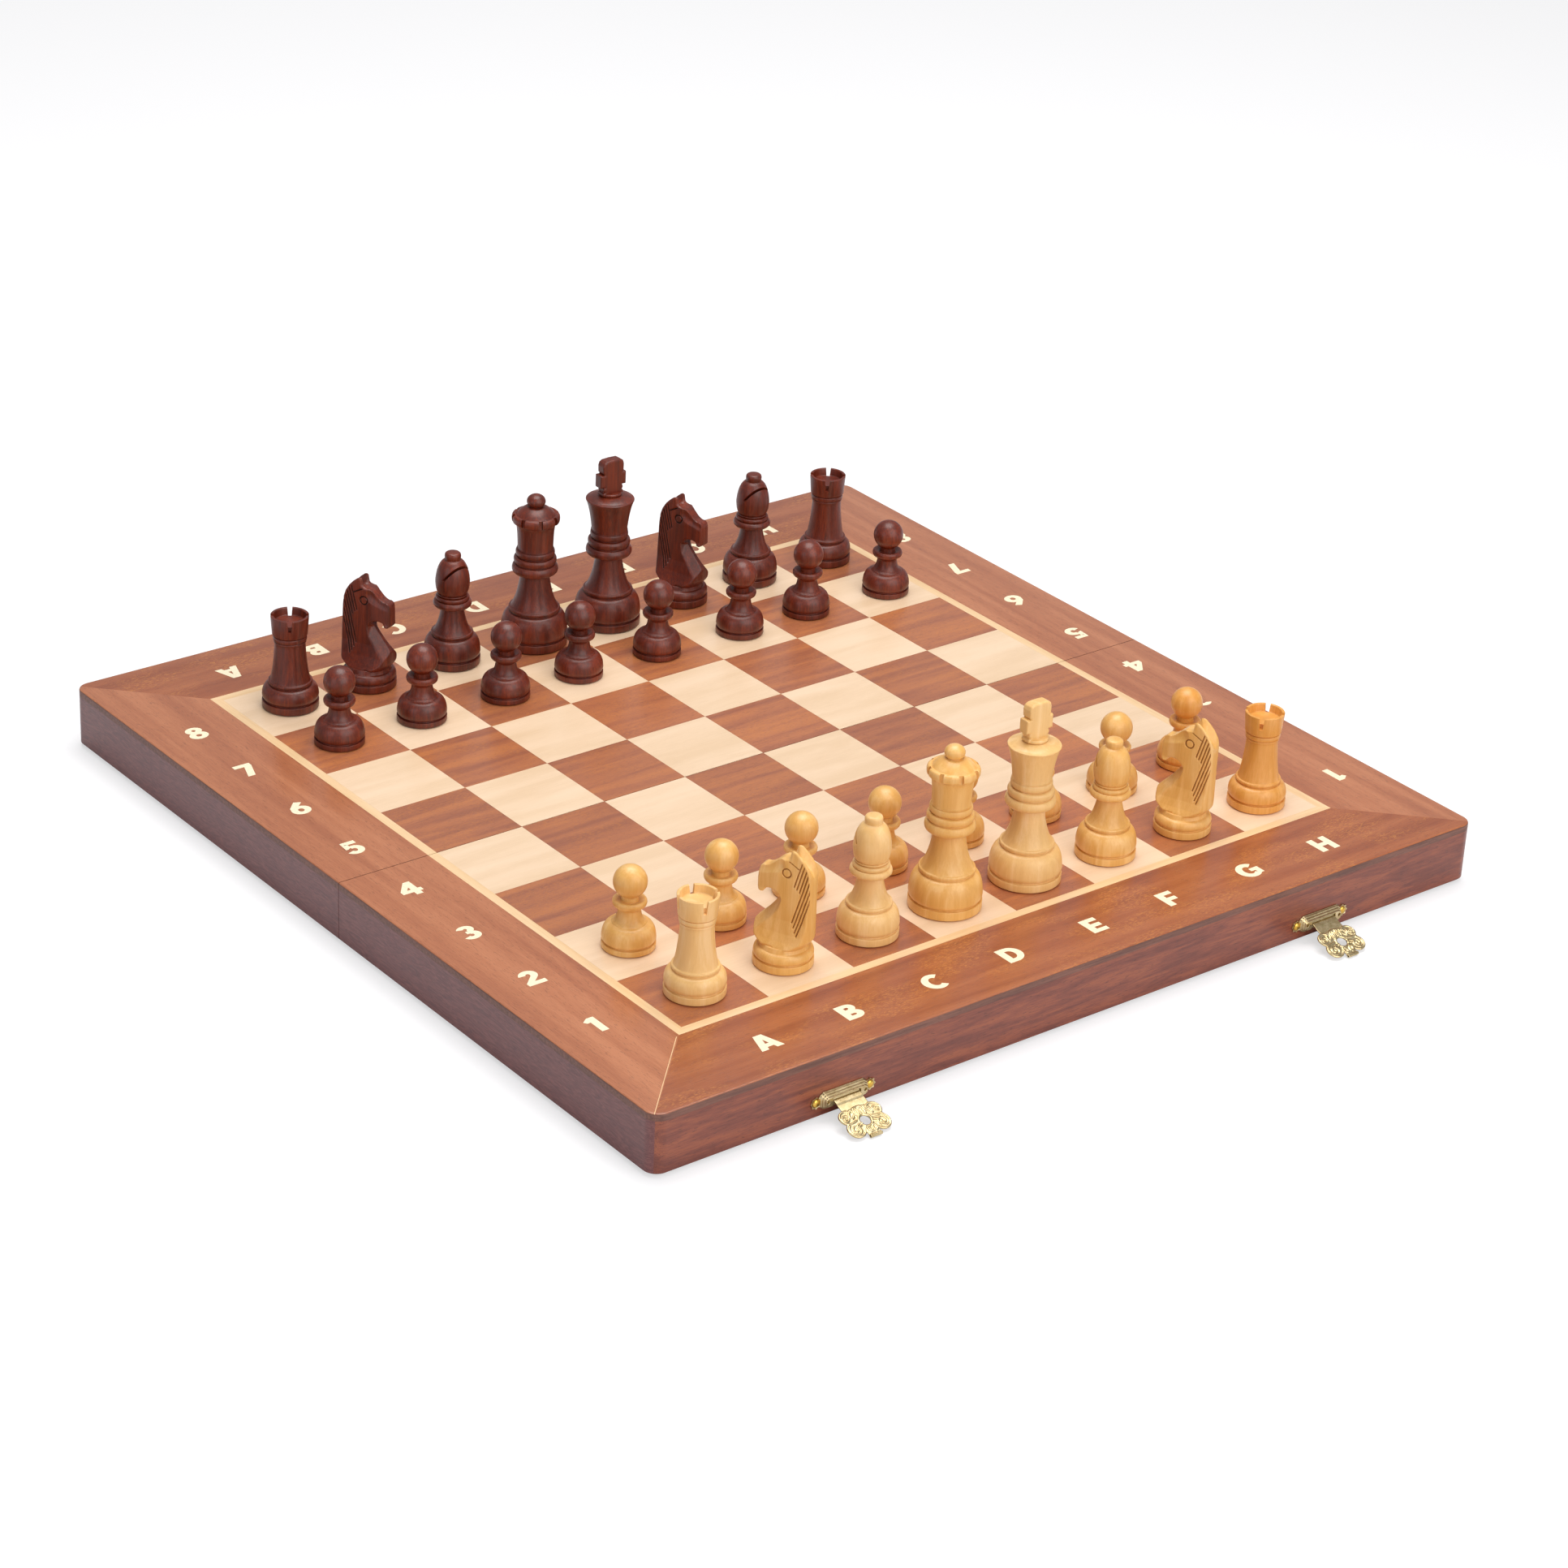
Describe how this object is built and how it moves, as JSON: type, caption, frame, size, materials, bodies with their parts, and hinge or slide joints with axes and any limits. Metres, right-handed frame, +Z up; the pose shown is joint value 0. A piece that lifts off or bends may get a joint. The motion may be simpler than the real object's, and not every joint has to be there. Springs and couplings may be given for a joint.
{
  "type": "chess set with board",
  "caption": "Turned and carved wooden chess men standing in their starting rows on a veneered board of two hinged trays that fold into a case shut by brass clasps.",
  "frame": {"origin": "middle of the whole set's footprint, open clasps included, at table level", "axes": "+X along the ranks from the a file to the h file, +Y from rank 1 to rank 8, +Z up"},
  "size_m": [0.41, 0.4336, 0.1027],
  "materials": {
    "wall_wood": "reddish brown hardwood, satin lacquer",
    "plywood": "grey-brown plywood edge, satin lacquer",
    "border_veneer": "mahogany veneer, satin lacquer",
    "dark_veneer": "ribbon mahogany veneer, satin lacquer",
    "light_veneer": "pale maple veneer, satin lacquer",
    "felt": "short green felt",
    "brass": "thin plated stamped sheet, semi-bright",
    "boxwood": "honey boxwood, satin lacquer",
    "dark_wood": "dark red-brown stained wood, glossy lacquer"
  },
  "bodies": {
    "white_half": {"front_wall": "wall_wood", "left_wall_white": "wall_wood", "right_wall_white": "wall_wood", "seam_wall_white": "wall_wood", "panel_white": "plywood", "border_veneer_white": "border_veneer", "dark_squares_white": "dark_veneer", "light_squares_white": "light_veneer", "felt_lining_white": "felt", "hinge_leaf_white_left": "brass", "hinge_leaf_white_right": "brass", "clasp_plate_left": "brass", "clasp_plate_right": "brass"},
    "black_half": {"back_wall": "wall_wood", "left_wall_black": "wall_wood", "right_wall_black": "wall_wood", "seam_wall_black": "wall_wood", "panel_black": "plywood", "border_veneer_black": "border_veneer", "dark_squares_black": "dark_veneer", "light_squares_black": "light_veneer", "felt_lining_black": "felt", "hinge_leaf_black_left": "brass", "hinge_leaf_black_right": "brass", "catch_plate_left": "brass", "catch_plate_right": "brass"},
    "clasp_hasp_left": {"clasp_hasp_left": "brass"},
    "clasp_hasp_right": {"clasp_hasp_right": "brass"},
    "white_rook_a1": {"white_rook_a1": "boxwood"},
    "white_knight_b1": {"white_knight_b1": "boxwood"},
    "white_bishop_c1": {"white_bishop_c1": "boxwood"},
    "white_queen": {"white_queen": "boxwood"},
    "white_king": {"white_king": "boxwood"},
    "white_bishop_f1": {"white_bishop_f1": "boxwood"},
    "white_knight_g1": {"white_knight_g1": "boxwood"},
    "white_rook_h1": {"white_rook_h1": "boxwood"},
    "white_pawn_a2": {"white_pawn_a2": "boxwood"},
    "white_pawn_b2": {"white_pawn_b2": "boxwood"},
    "white_pawn_c2": {"white_pawn_c2": "boxwood"},
    "white_pawn_d2": {"white_pawn_d2": "boxwood"},
    "white_pawn_e2": {"white_pawn_e2": "boxwood"},
    "white_pawn_f2": {"white_pawn_f2": "boxwood"},
    "white_pawn_g2": {"white_pawn_g2": "boxwood"},
    "white_pawn_h2": {"white_pawn_h2": "boxwood"},
    "black_rook_a8": {"black_rook_a8": "dark_wood"},
    "black_knight_b8": {"black_knight_b8": "dark_wood"},
    "black_bishop_c8": {"black_bishop_c8": "dark_wood"},
    "black_queen": {"black_queen": "dark_wood"},
    "black_king": {"black_king": "dark_wood"},
    "black_knight_f8": {"black_knight_f8": "dark_wood"},
    "black_bishop_g8": {"black_bishop_g8": "dark_wood"},
    "black_rook_h8": {"black_rook_h8": "dark_wood"},
    "black_pawn_a7": {"black_pawn_a7": "dark_wood"},
    "black_pawn_b7": {"black_pawn_b7": "dark_wood"},
    "black_pawn_c7": {"black_pawn_c7": "dark_wood"},
    "black_pawn_d7": {"black_pawn_d7": "dark_wood"},
    "black_pawn_e7": {"black_pawn_e7": "dark_wood"},
    "black_pawn_f7": {"black_pawn_f7": "dark_wood"},
    "black_pawn_g7": {"black_pawn_g7": "dark_wood"},
    "black_pawn_h7": {"black_pawn_h7": "dark_wood"}
  },
  "joints": [
    {"name": "fold", "type": "hinge", "parent": "white_half", "child": "black_half", "pos_m": [0, 0.00939, 0.00125], "axis": [1, 0, 0], "range_deg": [-180, 0]},
    {"name": "clasp_left", "type": "hinge", "parent": "white_half", "child": "clasp_hasp_left", "pos_m": [-0.12, -0.19711, 0.0084], "axis": [1, 0, 0], "range_deg": [-30, 68.49]},
    {"name": "clasp_right", "type": "hinge", "parent": "white_half", "child": "clasp_hasp_right", "pos_m": [0.12, -0.19711, 0.0084], "axis": [1, 0, 0], "range_deg": [-30, 68.49]},
    {"name": "lift_white_rook_a1", "type": "slide", "parent": "white_half", "child": "white_rook_a1", "axis": [0, 0, 1], "range_m": [0, 0.1]},
    {"name": "lift_white_knight_b1", "type": "slide", "parent": "white_half", "child": "white_knight_b1", "axis": [0, 0, 1], "range_m": [0, 0.1]},
    {"name": "lift_white_bishop_c1", "type": "slide", "parent": "white_half", "child": "white_bishop_c1", "axis": [0, 0, 1], "range_m": [0, 0.1]},
    {"name": "lift_white_queen", "type": "slide", "parent": "white_half", "child": "white_queen", "axis": [0, 0, 1], "range_m": [0, 0.1]},
    {"name": "lift_white_king", "type": "slide", "parent": "white_half", "child": "white_king", "axis": [0, 0, 1], "range_m": [0, 0.1]},
    {"name": "lift_white_bishop_f1", "type": "slide", "parent": "white_half", "child": "white_bishop_f1", "axis": [0, 0, 1], "range_m": [0, 0.1]},
    {"name": "lift_white_knight_g1", "type": "slide", "parent": "white_half", "child": "white_knight_g1", "axis": [0, 0, 1], "range_m": [0, 0.1]},
    {"name": "lift_white_rook_h1", "type": "slide", "parent": "white_half", "child": "white_rook_h1", "axis": [0, 0, 1], "range_m": [0, 0.1]},
    {"name": "lift_white_pawn_a2", "type": "slide", "parent": "white_half", "child": "white_pawn_a2", "axis": [0, 0, 1], "range_m": [0, 0.1]},
    {"name": "lift_white_pawn_b2", "type": "slide", "parent": "white_half", "child": "white_pawn_b2", "axis": [0, 0, 1], "range_m": [0, 0.1]},
    {"name": "lift_white_pawn_c2", "type": "slide", "parent": "white_half", "child": "white_pawn_c2", "axis": [0, 0, 1], "range_m": [0, 0.1]},
    {"name": "lift_white_pawn_d2", "type": "slide", "parent": "white_half", "child": "white_pawn_d2", "axis": [0, 0, 1], "range_m": [0, 0.1]},
    {"name": "lift_white_pawn_e2", "type": "slide", "parent": "white_half", "child": "white_pawn_e2", "axis": [0, 0, 1], "range_m": [0, 0.1]},
    {"name": "lift_white_pawn_f2", "type": "slide", "parent": "white_half", "child": "white_pawn_f2", "axis": [0, 0, 1], "range_m": [0, 0.1]},
    {"name": "lift_white_pawn_g2", "type": "slide", "parent": "white_half", "child": "white_pawn_g2", "axis": [0, 0, 1], "range_m": [0, 0.1]},
    {"name": "lift_white_pawn_h2", "type": "slide", "parent": "white_half", "child": "white_pawn_h2", "axis": [0, 0, 1], "range_m": [0, 0.1]},
    {"name": "lift_black_rook_a8", "type": "slide", "parent": "black_half", "child": "black_rook_a8", "axis": [0, 0, 1], "range_m": [0, 0.1]},
    {"name": "lift_black_knight_b8", "type": "slide", "parent": "black_half", "child": "black_knight_b8", "axis": [0, 0, 1], "range_m": [0, 0.1]},
    {"name": "lift_black_bishop_c8", "type": "slide", "parent": "black_half", "child": "black_bishop_c8", "axis": [0, 0, 1], "range_m": [0, 0.1]},
    {"name": "lift_black_queen", "type": "slide", "parent": "black_half", "child": "black_queen", "axis": [0, 0, 1], "range_m": [0, 0.1]},
    {"name": "lift_black_king", "type": "slide", "parent": "black_half", "child": "black_king", "axis": [0, 0, 1], "range_m": [0, 0.1]},
    {"name": "lift_black_knight_f8", "type": "slide", "parent": "black_half", "child": "black_knight_f8", "axis": [0, 0, 1], "range_m": [0, 0.1]},
    {"name": "lift_black_bishop_g8", "type": "slide", "parent": "black_half", "child": "black_bishop_g8", "axis": [0, 0, 1], "range_m": [0, 0.1]},
    {"name": "lift_black_rook_h8", "type": "slide", "parent": "black_half", "child": "black_rook_h8", "axis": [0, 0, 1], "range_m": [0, 0.1]},
    {"name": "lift_black_pawn_a7", "type": "slide", "parent": "black_half", "child": "black_pawn_a7", "axis": [0, 0, 1], "range_m": [0, 0.1]},
    {"name": "lift_black_pawn_b7", "type": "slide", "parent": "black_half", "child": "black_pawn_b7", "axis": [0, 0, 1], "range_m": [0, 0.1]},
    {"name": "lift_black_pawn_c7", "type": "slide", "parent": "black_half", "child": "black_pawn_c7", "axis": [0, 0, 1], "range_m": [0, 0.1]},
    {"name": "lift_black_pawn_d7", "type": "slide", "parent": "black_half", "child": "black_pawn_d7", "axis": [0, 0, 1], "range_m": [0, 0.1]},
    {"name": "lift_black_pawn_e7", "type": "slide", "parent": "black_half", "child": "black_pawn_e7", "axis": [0, 0, 1], "range_m": [0, 0.1]},
    {"name": "lift_black_pawn_f7", "type": "slide", "parent": "black_half", "child": "black_pawn_f7", "axis": [0, 0, 1], "range_m": [0, 0.1]},
    {"name": "lift_black_pawn_g7", "type": "slide", "parent": "black_half", "child": "black_pawn_g7", "axis": [0, 0, 1], "range_m": [0, 0.1]},
    {"name": "lift_black_pawn_h7", "type": "slide", "parent": "black_half", "child": "black_pawn_h7", "axis": [0, 0, 1], "range_m": [0, 0.1]}
  ]
}
